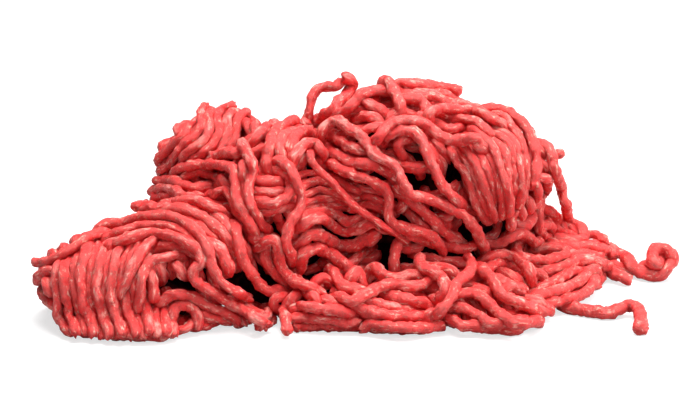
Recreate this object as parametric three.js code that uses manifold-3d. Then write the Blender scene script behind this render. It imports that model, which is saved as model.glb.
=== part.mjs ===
// A heap of raw minced beef, lying as it fell from the mincer: sheaves of soft round strands
// folded over each other, and looser strands trailed across and around them.
// Millimetres, +Z up. X runs to the right along the heap and Y away from its front.
// The origin is on the surface that the heap lies on, under its middle.
import * as THREE from "three";
import { mergeVertices } from "three/addons/utils/BufferGeometryUtils.js";
import Module from "manifold-3d";

// Driving dimensions
const STRAND_DIAMETER = 4.2; // a hole of the mincer's plate
const STRAND_SIDES = 5;
const FACET_LENGTH = 9.8; // of strand, between two rings of the solid
const SOLID_EVERY = 4; // one strand in so many of a sheaf is in the solid
const TUCKED_LIFT = 2.4; // of a strand's ends above the lumps, where they go in under their neighbours
const REST_HEIGHT = 1.75; // of a strand's centre above the surface it lies flat on
const CORE_GROWTH = 3.6; // of the solid core beyond the lumps that the routes lie over
const SLIVER = 0.05; // what joining leaves that is narrower than this is tidied away
const CORE_FACETS = [10, 7]; // round a lump, and from its top to its foot

// The picture that the routes are read from, in pixels, and how it sees the heap
const PICTURE_CENTRE = [350, 209];
const PIXEL_SIZE = 0.38; // at the picture's distance
const PICTURE_DISTANCE = 620;
const PICTURE_ELEVATION = THREE.MathUtils.degToRad(16);
const PICTURE_AIM = new THREE.Vector3(-2, 0, 31);
const HEAP_MIDDLE = [4.84, -3.85]; // of the heap's box, in the lumps' own X and Y
const FAR_EDGE = 75; // Y of the heap's far edge
const PASSING_GAP = 7; // a strand further than this from the lumps lies on the floor
const LOOK = { near: 0.05, share: 0.7, least: 0.3, most: 8 }; // steps along a line towards the lumps
const PROBE = 0.5; // on each side of a point, to tell which way the lumps' surface faces
const SETTLING_STEPS = 4; // to bring a point to its height, as the distances are approximate
const MERGE = 1e-4; // corners nearer than this are one
const FILLET = 6; // where two lumps meet

// The lumps that the heap is made of, each an ellipsoid: its centre and its half-lengths
const LUMPS = [
  { centre: [-80, -33, 9], radii: [27, 18, 19] }, // the fold at the left
  { centre: [-99, -34, 12], radii: [12, 12, 10] }, // its end
  { centre: [-58, -24, 17], radii: [22, 22, 19] }, // where it joins the slope
  { centre: [-56, 22, 46], radii: [13, 14, 13] }, // the bundle behind it
  { centre: [-52, 18, 15], radii: [26, 30, 26] }, // what the bundle lies on
  { centre: [-30, -4, 28], radii: [19, 28, 30] }, // the slope
  { centre: [16, 6, 36], radii: [34, 28, 36] }, // the crown
  { centre: [5, 6, 4], radii: [68, 42, 16] }, // the foot all round
  { centre: [50, -6, 46], radii: [14, 16, 18] }, // the round bundle at the right
  { centre: [44, 16, 26], radii: [24, 26, 30] }, // what holds it up
  { centre: [14, -30, 1], radii: [46, 18, 9] }, // the apron in front
  { centre: [46, -26, 0], radii: [26, 20, 9] }, // its right end
  { centre: [-10, -32, 1], radii: [20, 15, 9] }, // its left end
  { centre: [70, 12, 0], radii: [29, 38, 9] }, // the apron at the right
];

// The hollows under the round bundle and beside the fold
const HOLLOWS = [
  { centre: [54, -26, 22], radii: [15, 13, 8] },
  { centre: [-38, -48, 10], radii: [9, 15, 9] },
];

// Each sheaf runs from one edge route to another, count strands side by side, and a strand on
// its own has one route. A route's points are pixels of the picture, with the height above the
// lumps as a third value where it isn't the sheaf's own lift.
const SHEAVES = [
  // The fold at the left: hoops down its front, strands over its ridge, its end and its mouth
  {
    count: 12,
    lift: 5.4,
    from: [[50, 274], [48, 290], [57, 310], [76, 330]],
    to: [[150, 262], [139, 285], [131, 310], [139, 335]],
  },
  {
    count: 4,
    lift: 6.4,
    from: [[110, 221], [150, 210], [178, 212], [203, 230], [214, 252], [221, 273], [247, 297]],
    to: [[112, 243], [136, 232], [172, 236], [201, 249], [203, 266], [209, 286], [246, 312]],
  },
  { lift: 6.6, from: [[36, 263], [56, 258], [77, 244], [98, 231], [125, 221]] },
  { lift: 5.6, from: [[37, 283], [42, 272], [58, 270], [66, 281]] },
  { lift: 5.2, from: [[40, 292], [48, 305], [64, 322], [92, 335]] },
  { lift: 7.2, from: [[133, 292], [142, 271], [156, 262], [178, 255]] },
  { lift: 5.0, from: [[163, 308], [174, 293], [190, 296], [206, 309], [238, 312]] },
  { lift: 5.4, from: [[169, 334], [170, 314], [181, 303], [192, 309], [193, 323]] },
  { count: 3, lift: 4.6, from: [[147, 300], [150, 336]], to: [[166, 306], [165, 335]] },
  { lift: 6.0, from: [[198, 276], [209, 291], [233, 304], [251, 316], [266, 326]] },

  // The bundle behind, and what lies between it and the fold
  {
    count: 8,
    lift: 5.2,
    from: [[163, 180], [158, 158], [168, 145], [190, 128], [204, 106]],
    to: [[202, 160], [222, 142], [238, 126], [248, 114], [260, 124]],
  },
  {
    count: 6,
    lift: 5.4,
    from: [[152, 190], [172, 180], [190, 167], [232, 164]],
    to: [[135, 206], [165, 203], [190, 207], [232, 226]],
  },
  {
    count: 4,
    lift: 4.4,
    from: [[165, 216], [192, 216], [215, 234], [232, 262]],
    to: [[190, 207], [214, 214], [238, 232], [258, 266]],
  },

  // The slope: strands that hang from the top, and turn to the right at their feet
  {
    count: 3,
    lift: 7.4,
    from: [[214, 157], [231, 158], [236, 180], [238, 205], [252, 236]],
    to: [[272, 133], [248, 145], [250, 165], [246, 192], [260, 222]],
  },
  {
    count: 3,
    lift: 4.6,
    from: [[226, 240], [241, 268], [258, 290], [288, 293]],
    to: [[270, 241], [281, 247], [284, 265], [303, 287]],
  },
  {
    count: 4,
    lift: 4.8,
    from: [[256, 181], [268, 181], [276, 180], [279, 170]],
    to: [[256, 204], [279, 204], [292, 195], [291, 172]],
  },
  {
    count: 3,
    lift: 6.6,
    from: [[274, 164], [268, 146], [275, 128], [290, 123]],
    to: [[300, 166], [296, 150], [302, 131], [316, 133]],
  },
  { lift: 7.6, from: [[262, 164], [282, 168], [295, 185], [301, 203], [289, 221], [286, 240], [294, 259]] },
  { lift: 8.0, from: [[290, 169], [297, 152], [311, 143], [322, 151], [323, 168]] },

  // The wall in the middle: ribs across it, and long strands that slant over them
  {
    count: 8,
    lift: 3.6,
    from: [[306, 184], [322, 179], [345, 184], [378, 200]],
    to: [[300, 260], [316, 246], [338, 254], [380, 238]],
  },
  { lift: 8.4, from: [[308, 152], [322, 169], [341, 191], [357, 207], [376, 220], [408, 228], [438, 241]] },
  { lift: 7.0, from: [[322, 158], [350, 171], [384, 187], [389, 205], [388, 224]] },
  { lift: 5.6, from: [[326, 150], [348, 160], [378, 166]] },
  {
    lift: 8.8,
    from: [
      [323, 144], [324, 128], [338, 121], [353, 130], [374, 137],
      [390, 125], [412, 118], [434, 129], [450, 137], [472, 133],
    ],
  },
  { lift: 8.0, from: [[381, 142], [395, 128], [412, 130], [423, 150], [433, 175], [450, 197], [468, 213]] },
  { lift: 7.4, from: [[362, 142], [380, 158], [399, 174], [411, 193], [445, 202], [467, 216], [478, 243]] },
  { lift: 3.4, from: [[390, 146], [408, 160], [432, 172]] },
  { lift: 4.6, from: [[402, 205], [420, 216], [440, 230], [446, 240]] },

  // The crown: long strands along the top, hooks under them, and the loop that stands up
  {
    count: 3,
    lift: 7.0,
    from: [[459, 86], [430, 84], [395, 79], [368, 90], [343, 112]],
    to: [[472, 105], [446, 100], [416, 94], [388, 92], [362, 101]],
  },
  { lift: 6.2, from: [[386, 90], [398, 100], [396, 112], [388, 122]] },
  { lift: 6.0, from: [[402, 99], [416, 98], [425, 107], [421, 119]] },
  { lift: 4.0, from: [[350, 106], [370, 107], [392, 121]] },
  { lift: 4.4, from: [[366, 117], [378, 119], [390, 129]] },
  { lift: 7.0, from: [[317, 138], [315, 118], [313, 100], [322, 88], [345, 85]] },
  { lift: 7.0, from: [[342, 75], [349, 85], [344, 102], [334, 121]] },

  // The round bundle at the right, and the strands that hang past it
  {
    count: 9,
    lift: 5.2,
    from: [[459, 150], [459, 170], [467, 196], [480, 222]],
    to: [[478, 107], [514, 119], [533, 158], [529, 211]],
  },
  { lift: 7.6, from: [[427, 121], [437, 108], [465, 109], [492, 118], [510, 142]] },
  { lift: 6.2, from: [[524, 128], [535, 152], [536, 187], [534, 214], [544, 244]] },
  { lift: 6.0, from: [[565, 152], [548, 150], [536, 140], [522, 126]] },
  { lift: 6.4, from: [[540, 143], [556, 170], [564, 196], [570, 222], [584, 238]] },

  // The apron in front, where loose strands lie across each other
  {
    lift: 6.6,
    from: [
      [393, 272], [396, 250], [408, 238], [429, 247], [455, 250],
      [482, 246], [503, 242], [518, 234], [531, 246],
    ],
  },
  { lift: 9.0, from: [[422, 254], [421, 268], [438, 277], [442, 290], [433, 304]] },
  { lift: 9.0, from: [[466, 254], [470, 268], [456, 284], [449, 300], [433, 314]] },
  {
    count: 3,
    lift: 4.4,
    from: [[300, 307], [330, 306], [366, 312], [432, 315]],
    to: [[296, 320], [340, 322], [385, 328], [440, 329]],
  },
  { lift: 4.6, from: [[287, 331], [285, 312], [297, 298], [303, 285]] },
  { lift: 7.6, from: [[328, 294], [352, 299], [380, 284], [408, 289], [438, 286]] },
  {
    count: 3,
    lift: 5.0,
    from: [[333, 274], [348, 288], [380, 296], [425, 303]],
    to: [[372, 262], [388, 274], [415, 276], [440, 283]],
  },
  {
    count: 4,
    lift: 5.0,
    from: [[462, 289], [480, 292], [498, 311], [522, 318], [546, 312]],
    to: [[444, 318], [464, 324], [484, 329], [510, 331], [536, 327]],
  },
  { lift: 7.0, from: [[480, 268], [496, 284], [512, 296], [540, 304], [553, 311]] },
  { lift: 7.6, from: [[483, 262], [505, 255], [524, 262], [532, 282]] },
  { lift: 6.0, from: [[502, 292], [512, 287], [523, 291]] },
  { lift: 6.6, from: [[512, 246], [520, 260], [545, 259], [564, 257], [560, 247], [540, 246]] },

  // The apron at the right, thinning out to single strands
  {
    count: 5,
    lift: 4.4,
    from: [[536, 284], [560, 268], [598, 262]],
    to: [[546, 303], [574, 294], [596, 286]],
  },
  {
    count: 4,
    lift: 4.4,
    from: [[541, 228], [572, 228], [609, 238]],
    to: [[560, 262], [585, 256], [612, 250]],
  },
  { lift: 3.4, from: [[584, 240], [606, 246], [626, 256], [644, 265]] },
  { lift: 3.0, from: [[590, 262], [614, 273], [634, 284]] },
  {
    lift: 2.0,
    from: [
      [598, 266], [622, 264], [648, 275], [667, 273],
      [674, 260, 5], [665, 248, 10], [655, 253, 8], [655, 268, 3],
    ],
  },
  {
    lift: 2.0,
    from: [
      [556, 301], [567, 304], [588, 309], [610, 309],
      [625, 302, 5], [637, 305, 5], [640, 319, 2], [641, 331, 1.8],
    ],
  },
];

// The strands over the far side and the ends, spread by rule
const FAR_STRANDS = 22;
const FAR_LENGTH = 48;
const FAR_LIFT = 4.6;
const FAR_SPREAD = { x: [-104, 92], z: [12, 66] };
const SPREAD_RATIOS = [0.7548777, 0.5698403]; // the plastic number's powers, which spread points evenly
const WANDER = 0.9; // radians that a strand turns to either side on its way down
const WANDER_LENGTH = 34;
const MARCH_STEP = 3;
const STEPS_PER_POINT = 3; // from one point of the route to the next

const wasm = await Module();
wasm.setup();

// Distance from a point to an ellipsoid, near enough close to it, and below zero inside it
function ellipsoidGap(p, { centre, radii }) {
  const q = p.clone().sub(new THREE.Vector3(...centre));
  const r = new THREE.Vector3(...radii);
  const byRadius = q.clone().divide(r);
  const stretch = byRadius.clone().divide(r).length() || 1e-9;
  return (byRadius.length() * (byRadius.length() - 1)) / stretch;
}

// Two distances joined by a fillet: the smaller where they are far apart
function filletMin(a, b) {
  const share = THREE.MathUtils.clamp(0.5 + (0.5 * (a - b)) / FILLET, 0, 1);
  return a * (1 - share) + b * share - FILLET * share * (1 - share);
}

// Distance from a point to the lumps, less the hollows
function heapGap(p) {
  let gap = Infinity;
  for (const lump of LUMPS) {
    const next = ellipsoidGap(p, lump);
    gap = gap === Infinity ? next : filletMin(gap, next);
  }
  for (const hollow of HOLLOWS) gap = -filletMin(-gap, ellipsoidGap(p, hollow));
  return gap;
}

// The direction away from the lumps at a point
function outward(p) {
  const gapAt = (axis, step) => heapGap(p.clone().addScaledVector(axis, step));
  const along = (axis) => gapAt(axis, PROBE) - gapAt(axis, -PROBE);
  return new THREE.Vector3(
    along(new THREE.Vector3(1, 0, 0)),
    along(new THREE.Vector3(0, 1, 0)),
    along(new THREE.Vector3(0, 0, 1)),
  ).normalize();
}

// Follows a line until it is lift above the lumps, or to where it passes nearest to them. A line
// that passes them by goes on to the floor, where that is no further away than the heap's far edge.
function landing(start, direction, lift) {
  const at = (distance) => start.clone().addScaledVector(direction, distance);
  const floor = direction.z < 0 ? (start.z - Math.max(lift, REST_HEIGHT)) / -direction.z : Infinity;
  const reach = Math.min(floor, 3 * FAR_EDGE);
  let nearest = { gap: Infinity, distance: 0 };
  let distance = 0;
  while (distance < reach && nearest.gap > LOOK.near) {
    const gap = heapGap(at(distance)) - lift;
    if (gap < nearest.gap) nearest = { gap, distance };
    distance += THREE.MathUtils.clamp(gap * LOOK.share, LOOK.least, LOOK.most);
  }
  const passesBy = nearest.gap > PASSING_GAP && floor < Infinity && at(floor).y < FAR_EDGE;
  const point = at(passesBy ? floor : nearest.distance);
  return point.setZ(Math.max(point.z, REST_HEIGHT));
}

// The point of the heap that a pixel of the picture shows
function seenAt([x, y, ownLift], lift) {
  const back = new THREE.Vector3(0, -Math.cos(PICTURE_ELEVATION), Math.sin(PICTURE_ELEVATION));
  const up = new THREE.Vector3(0, Math.sin(PICTURE_ELEVATION), Math.cos(PICTURE_ELEVATION));
  const eye = PICTURE_AIM.clone().addScaledVector(back, PICTURE_DISTANCE);
  const direction = PICTURE_AIM.clone()
    .addScaledVector(new THREE.Vector3(1, 0, 0), (x - PICTURE_CENTRE[0]) * PIXEL_SIZE)
    .addScaledVector(up, (PICTURE_CENTRE[1] - y) * PIXEL_SIZE)
    .sub(eye)
    .normalize();
  const start = eye.addScaledVector(direction, PICTURE_DISTANCE - 1.5 * FAR_EDGE);
  return landing(start, direction, ownLift ?? lift);
}

// The routes of a sheaf's strands, spaced evenly between its two edges
function sheafRoutes({ from, to = from, count = 1, lift }) {
  const routes = [];
  for (let i = 0; i < count; i += SOLID_EVERY) {
    const share = count > 1 ? i / (count - 1) : 0;
    const mix = (a, b) => a.map((value, k) => THREE.MathUtils.lerp(value, b[k], share));
    const isEnd = (k) => k === 0 || k === from.length - 1;
    const liftAt = (k) => (isEnd(k) ? Math.min(lift, TUCKED_LIFT) : lift);
    routes.push(from.map((point, k) => seenAt(mix(point, to[k]), liftAt(k))));
  }
  return routes;
}

// A point brought to FAR_LIFT above the lumps
function laidOn(p) {
  const laid = p.clone();
  for (let i = 0; i < SETTLING_STEPS; i++) laid.addScaledVector(outward(laid), FAR_LIFT - heapGap(laid));
  return laid.setZ(Math.max(laid.z, REST_HEIGHT));
}

// A strand that sets out from the far side and winds downhill over the lumps
function farRoute(index) {
  const [u, v] = SPREAD_RATIOS.map((ratio) => (0.5 + index * ratio) % 1);
  const start = new THREE.Vector3(
    THREE.MathUtils.lerp(...FAR_SPREAD.x, u),
    FAR_EDGE,
    THREE.MathUtils.lerp(...FAR_SPREAD.z, v),
  );
  let p = laidOn(landing(start, new THREE.Vector3(0, -1, 0), FAR_LIFT));
  const route = [p];
  for (let step = 1; step * MARCH_STEP <= FAR_LENGTH && p.z > REST_HEIGHT; step++) {
    const normal = outward(p);
    const downhill = new THREE.Vector3(0, 0, -1).projectOnPlane(normal).normalize();
    const turn = WANDER * Math.sin((2 * Math.PI * step * MARCH_STEP) / WANDER_LENGTH + index);
    downhill.applyAxisAngle(normal, turn);
    p = laidOn(p.clone().addScaledVector(downhill, MARCH_STEP));
    if (step % STEPS_PER_POINT === 0) route.push(p);
  }
  if (route.at(-1) !== p) route.push(p);
  return route;
}

// A closed three.js geometry as a solid that can be joined and cut
function solidOf(geometry) {
  const bare = geometry.clone();
  bare.deleteAttribute("normal");
  bare.deleteAttribute("uv");
  const merged = mergeVertices(bare, MERGE);
  return new wasm.Manifold(
    new wasm.Mesh({
      numProp: 3,
      vertProperties: new Float32Array(merged.attributes.position.array),
      triVerts: new Uint32Array(merged.index.array),
    }),
  );
}

// One strand: a round section carried along its route
function strandSolid(route) {
  const curve = new THREE.CatmullRomCurve3(route, false, "catmullrom", 0.5);
  const section = new THREE.Shape();
  for (let i = 0; i < STRAND_SIDES; i++) {
    const turn = (2 * Math.PI * i) / STRAND_SIDES;
    const [x, y] = [Math.cos(turn), Math.sin(turn)].map((c) => (c * STRAND_DIAMETER) / 2);
    if (i === 0) section.moveTo(x, y);
    else section.lineTo(x, y);
  }
  const steps = Math.max(3, Math.round(curve.getLength() / FACET_LENGTH));
  return solidOf(new THREE.ExtrudeGeometry(section, { steps, extrudePath: curve, bevelEnabled: false }));
}

// An ellipsoid with its half-lengths changed by growth
function lumpSolid({ centre, radii }, growth) {
  const geometry = new THREE.SphereGeometry(1, ...CORE_FACETS);
  geometry.rotateX(Math.PI / 2);
  geometry.scale(...radii.map((r) => r + growth));
  geometry.translate(...centre);
  return solidOf(geometry);
}

// Everything above the surface that the heap lies on
function aboveFloor() {
  const span = 400;
  return solidOf(new THREE.BoxGeometry(span, span, span).translate(0, 0, span / 2));
}

function coreSolid() {
  const lumps = wasm.Manifold.union(LUMPS.map((lump) => lumpSolid(lump, CORE_GROWTH)));
  const hollows = wasm.Manifold.union(HOLLOWS.map((hollow) => lumpSolid(hollow, 0)));
  return lumps.subtract(hollows);
}

// The core and the strands fused, trimmed flat at the floor. Only the outer skin of the largest
// body is kept, which fills any gap that fusing sealed.
function heapSolid() {
  const routes = SHEAVES.flatMap(sheafRoutes);
  for (let i = 0; i < FAR_STRANDS; i++) routes.push(farRoute(i));
  const fused = wasm.Manifold.union([coreSolid(), ...routes.map(strandSolid)]).intersect(aboveFloor());
  const bodies = fused.simplify(SLIVER).decompose();
  const heap = bodies.reduce((a, b) => (a.volume() > b.volume() ? a : b));
  return heap.translate(-HEAP_MIDDLE[0], -HEAP_MIDDLE[1], 0);
}

function meshOf(solid, name, material) {
  const { vertProperties, triVerts, numProp } = solid.getMesh();
  const geometry = new THREE.BufferGeometry();
  geometry.setAttribute("position", new THREE.BufferAttribute(new Float32Array(vertProperties), numProp));
  geometry.setIndex(new THREE.BufferAttribute(new Uint32Array(triVerts), 1));
  geometry.computeVertexNormals();
  const mesh = new THREE.Mesh(geometry, material);
  mesh.name = name;
  return mesh;
}

const rawBeef = new THREE.MeshStandardMaterial({ color: 0xd0403f, roughness: 0.45, metalness: 0 });
const mince = new THREE.Group();
mince.add(meshOf(heapSolid(), "mince_heap", rawBeef));

export default mince;
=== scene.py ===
"""A heap of raw minced beef, lying as it fell from the mincer.

Soft round strands run side by side in bundles that fold over each other, and looser strands
trail across and around them. Shapes are worked out in millimetres, with X to the right along
the heap, Y away from its front and Z up, and are turned to metres as they go into their meshes.
"""

import itertools

import bpy
import numpy as np
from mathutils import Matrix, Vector


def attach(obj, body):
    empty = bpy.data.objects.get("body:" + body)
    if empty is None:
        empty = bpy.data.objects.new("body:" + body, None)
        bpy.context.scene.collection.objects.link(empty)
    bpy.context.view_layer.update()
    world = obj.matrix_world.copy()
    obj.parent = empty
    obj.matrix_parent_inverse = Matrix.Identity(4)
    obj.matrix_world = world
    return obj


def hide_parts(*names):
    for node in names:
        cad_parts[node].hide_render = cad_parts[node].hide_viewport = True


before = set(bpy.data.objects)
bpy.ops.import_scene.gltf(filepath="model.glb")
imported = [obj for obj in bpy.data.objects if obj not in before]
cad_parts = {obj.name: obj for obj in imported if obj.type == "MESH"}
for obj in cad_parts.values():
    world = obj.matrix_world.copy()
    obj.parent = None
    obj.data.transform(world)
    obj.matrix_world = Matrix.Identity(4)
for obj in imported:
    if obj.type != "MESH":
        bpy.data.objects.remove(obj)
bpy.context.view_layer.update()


# The core
# Under the outer strands the mince has closed up by its own weight into one moist mass, coloured a
# near-black red: painted shade for the deep gaps where it shows.
# It is one closed skin over the lumps that the strands lie on, and flat where it rests.

MM = 0.001
HEAP_MIDDLE = np.array([4.84, -3.85, 0.0])  # of the heap's box, where the lumps' own origin isn't

# The lumps, each an ellipsoid: its centre and its half-lengths
LUMPS = {
    "fold": ((-80, -33, 9), (27, 18, 18)),
    "fold end": ((-98, -34, 12), (12, 12, 9)),
    "fold root": ((-58, -24, 17), (22, 22, 19)),
    "rear bundle": ((-55, 22, 45), (12, 13, 12)),
    "rear foot": ((-51, 18, 15), (25, 30, 26)),
    "slope": ((-30, -4, 28), (19, 28, 30)),
    "crown": ((16, 6, 36), (34, 28, 36)),
    "foot": ((5, 6, 4), (68, 42, 16)),
    "round bundle": ((50, -6, 46), (14, 16, 18)),
    "round foot": ((44, 16, 26), (24, 26, 30)),
    "front apron": ((14, -30, 1), (46, 18, 9)),
    "front apron right": ((46, -26, 0), (26, 20, 9)),
    "front apron left": ((-10, -32, 1), (20, 15, 9)),
    "right apron": ((68, 15, 0), (29, 35, 9)),
}

# The hollows under the round bundle and beside the fold
HOLLOWS = {
    "under the round bundle": ((54, -26, 22), (15, 13, 8)),
    "beside the fold": ((-38, -48, 10), (9, 15, 9)),
}
FILLET = 6.0  # where two lumps meet
PROBE = 0.5  # on each side of a point, to tell which way the lumps' surface faces
TINY = 1e-9
CORE_SKIN = -2.5  # of the core's skin above the lumps, below zero where it is under their surface
CORE_VOXEL = 1.6
CORE_SETTLING = 4
LUMP_SIDES, LUMP_RINGS = 40, 20
CORE_RELIEF = {3.4: 0.7, 1.6: 0.35}  # width of its crumbs, and how far they stand out


def table_of(shapes):
    """One row for each ellipsoid: its centre, then its half-lengths."""
    return np.array([[*centre, *radii] for centre, radii in shapes.values()], float)


LUMP_TABLE = table_of(LUMPS)
HOLLOW_TABLE = table_of(HOLLOWS)


def ellipsoid_gaps(points, ellipsoids):
    """Distances from points to ellipsoids, below zero inside: with q the point measured in
    half-lengths, |q| (|q| - 1) over the length of q divided once more by the half-lengths."""
    q = (points[:, None] - ellipsoids[:, :3]) / ellipsoids[:, 3:]
    reach = np.linalg.norm(q, axis=2)
    return reach * (reach - 1) / np.maximum(np.linalg.norm(q / ellipsoids[:, 3:], axis=2), TINY)


def fillet_min(a, b):
    """The smaller of two distances, rounded off where they are nearly equal: their mix by a
    share that goes from 0 to 1 over the fillet, less the fillet times share times one minus it."""
    share = np.clip(0.5 + 0.5 * (a - b) / FILLET, 0, 1)
    return a * (1 - share) + b * share - FILLET * share * (1 - share)


def heap_gap(points):
    """Distance from each point to the lumps joined by fillets, less the hollows."""
    gaps = ellipsoid_gaps(points, LUMP_TABLE).T
    gap = gaps[0]
    for other in gaps[1:]:
        gap = fillet_min(gap, other)
    for hollow in ellipsoid_gaps(points, HOLLOW_TABLE).T:
        gap = -fillet_min(-gap, hollow)
    return gap


def outward(points):
    """The direction away from the lumps: how much the distance grows along each axis."""
    steps = PROBE * np.eye(3)
    rise = np.stack([heap_gap(points + step) - heap_gap(points - step) for step in steps], axis=1)
    return rise / np.maximum(np.linalg.norm(rise, axis=1, keepdims=True), TINY)


NOISE_TABLE = np.random.default_rng(11).uniform(-1, 1, 4096)
NOISE_PRIMES = np.array([73856093, 19349663, 83492791])


def noise(points):
    """Smooth noise from -1 to 1 with one hump to a unit: random values at whole numbers, blended
    along each axis by 3t^2 - 2t^3, where t is how far the point is into its unit cube."""
    cell = np.floor(points).astype(np.int64)
    t = points - cell
    t = t * t * (3 - 2 * t)
    total = np.zeros(len(points))
    for corner in itertools.product((0, 1), repeat=3):
        weight = np.prod(np.where(corner, t, 1 - t), axis=1)
        place = (cell + corner) * NOISE_PRIMES
        slot = (place[:, 0] ^ place[:, 1] ^ place[:, 2]) & (len(NOISE_TABLE) - 1)
        total += weight * NOISE_TABLE[slot]
    return total


def closed_tubes(rings, counts):
    """Faces of tubes that end in a point. The rings of all tubes follow each other in one array,
    counts of them for each tube, and after the rings come the first and last point of each tube.
    Quads join each ring to the next, and triangles close each end."""
    sides = rings.shape[1]
    ring_total = len(rings)
    starts = np.r_[0, np.cumsum(counts)[:-1]]
    lasts = starts + counts - 1
    here = np.setdiff1d(np.arange(ring_total), lasts)
    k = np.arange(sides)
    after = (k + 1) % sides
    lower, upper = here[:, None] * sides, (here[:, None] + 1) * sides
    quads = np.stack([lower + k, lower + after, upper + after, upper + k], axis=2).reshape(-1, 4)
    first_tip = ring_total * sides + np.arange(len(counts))[:, None]
    last_tip = first_tip + len(counts)
    bottom, top = starts[:, None] * sides, lasts[:, None] * sides
    tips = np.zeros((len(counts), sides), int)
    closing = np.stack([bottom + after, bottom + k, first_tip + tips], axis=2)
    ending = np.stack([top + k, top + after, last_tip + tips], axis=2)
    return quads, np.concatenate([closing.reshape(-1, 3), ending.reshape(-1, 3)])


def mesh_object(name, points, quads, triangles):
    """A mesh from points in the lumps' millimetres, moved to the heap's own origin, in metres."""
    mesh = bpy.data.meshes.new(name)
    mesh.vertices.add(len(points))
    mesh.vertices.foreach_set("co", ((points - HEAP_MIDDLE) * MM).astype(np.float32).ravel())
    corners = np.concatenate([quads.ravel(), triangles.ravel()]).astype(np.int32)
    mesh.loops.add(len(corners))
    mesh.loops.foreach_set("vertex_index", corners)
    quad_starts = 4 * np.arange(len(quads))
    starts = np.concatenate([quad_starts, quads.size + 3 * np.arange(len(triangles))])
    mesh.polygons.add(len(starts))
    mesh.polygons.foreach_set("loop_start", starts.astype(np.int32))
    mesh.update(calc_edges=True)
    mesh.shade_smooth()
    piece = bpy.data.objects.new(name, mesh)
    bpy.context.scene.collection.objects.link(piece)
    return piece


def lump_skins():
    """The lumps as closed shells: rings of points at equal steps from pole to pole, each point the
    centre plus the half-lengths times (sin a cos b, sin a sin b, cos a)."""
    a = np.pi * np.arange(LUMP_RINGS, 0, -1)[:, None] / (LUMP_RINGS + 1)
    b = 2 * np.pi * np.arange(LUMP_SIDES) / LUMP_SIDES
    unit = np.stack([np.sin(a) * np.cos(b), np.sin(a) * np.sin(b), np.cos(a) + 0 * b], axis=2)
    centres, radii = LUMP_TABLE[:, None, None, :3], LUMP_TABLE[:, None, None, 3:]
    rings = (centres + radii * unit).reshape(-1, LUMP_SIDES, 3)
    poles = radii[:, 0, 0] * [0, 0, 1]
    tips = np.concatenate([centres[:, 0, 0] - poles, centres[:, 0, 0] + poles])
    quads, triangles = closed_tubes(rings, np.full(len(LUMP_TABLE), LUMP_RINGS))
    return np.concatenate([rings.reshape(-1, 3), tips]), quads, triangles


def linear(hex_colour):
    """An sRGB hex colour as linear RGBA: c / 12.92 below 0.04045, else ((c + 0.055) / 1.055)^2.4."""
    c = np.array([int(hex_colour[k : k + 2], 16) / 255 for k in (1, 3, 5)])
    return (*np.where(c <= 0.04045, c / 12.92, ((c + 0.055) / 1.055) ** 2.4), 1.0)


def add_node(tree, kind, links=None, **settings):
    """A node of a kind with its settings. A setting that is a socket's name goes to that socket,
    and links gives the outputs that feed its sockets."""
    node = tree.nodes.new(kind)
    for name, value in settings.items():
        if hasattr(node, name):
            setattr(node, name, value)
        else:
            node.inputs[name].default_value = value
    for name, source in (links or {}).items():
        tree.links.new(source, node.inputs[name])
    return node


# The mass inside is the same moist raw muscle, in crumbs of 2.4 mm, without marbling. Its near-black to
# deep red is painted shade, darker than the meat itself, for the gaps between the strands.
core_beef_painted_shade = bpy.data.materials.new("core_beef_painted_shade")
core_beef_painted_shade.use_nodes = True
tree = core_beef_painted_shade.node_tree
place = add_node(tree, "ShaderNodeTexCoord").outputs["Object"]
crumbs = add_node(tree, "ShaderNodeTexNoise", {"Vector": place}, Scale=420.0, Detail=3.0)
shade = add_node(tree, "ShaderNodeValToRGB", {"Fac": crumbs.outputs["Fac"]})
# Near-black to deep red: painted shade, not the meat's own colour
shade.color_ramp.elements[0].position = 0.35
shade.color_ramp.elements[0].color = linear("#140002")
shade.color_ramp.elements[1].position = 0.7
shade.color_ramp.elements[1].color = linear("#430308")
relief = add_node(
    tree, "ShaderNodeBump", {"Height": crumbs.outputs["Fac"]}, Strength=0.6, Distance=0.4 * MM
)
packed = tree.nodes["Principled BSDF"]
tree.links.new(shade.outputs["Color"], packed.inputs["Base Color"])
tree.links.new(relief.outputs["Normal"], packed.inputs["Normal"])
packed.inputs["Roughness"].default_value = 0.8
packed.inputs["IOR"].default_value = 1.2

loose_lumps = mesh_object("loose_lumps", *lump_skins())
joining = loose_lumps.modifiers.new("joining", "REMESH")
joining.mode = "VOXEL"
joining.voxel_size = CORE_VOXEL * MM
joined = loose_lumps.evaluated_get(bpy.context.evaluated_depsgraph_get()).to_mesh()
skin = np.zeros(3 * len(joined.vertices), np.float32)
joined.vertices.foreach_get("co", skin)
skin = skin.reshape(-1, 3).astype(float) / MM + HEAP_MIDDLE
corner_points = np.zeros(len(joined.loops), np.int32)
joined.loops.foreach_get("vertex_index", corner_points)
core_quads = corner_points.reshape(-1, 4)
bpy.data.objects.remove(loose_lumps)

for _ in range(CORE_SETTLING):
    skin -= outward(skin) * (heap_gap(skin) - CORE_SKIN)[:, None]
crumb_height = sum(height * noise(skin / width) for width, height in CORE_RELIEF.items())
skin += outward(skin) * crumb_height[:, None]
skin[:, 2] = np.maximum(skin[:, 2], 0)
core = mesh_object("core", skin, core_quads, np.zeros((0, 3), int))
core.data.materials.append(core_beef_painted_shade)
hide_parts("mince_heap")
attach(core, "root")


# The fold at the left
# A thick skein of strands doubled over on itself: hoops down its front, strands over its ridge,
# and its mouth open to the right. A strand is pressed meat the width of a hole in the plate.

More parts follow.
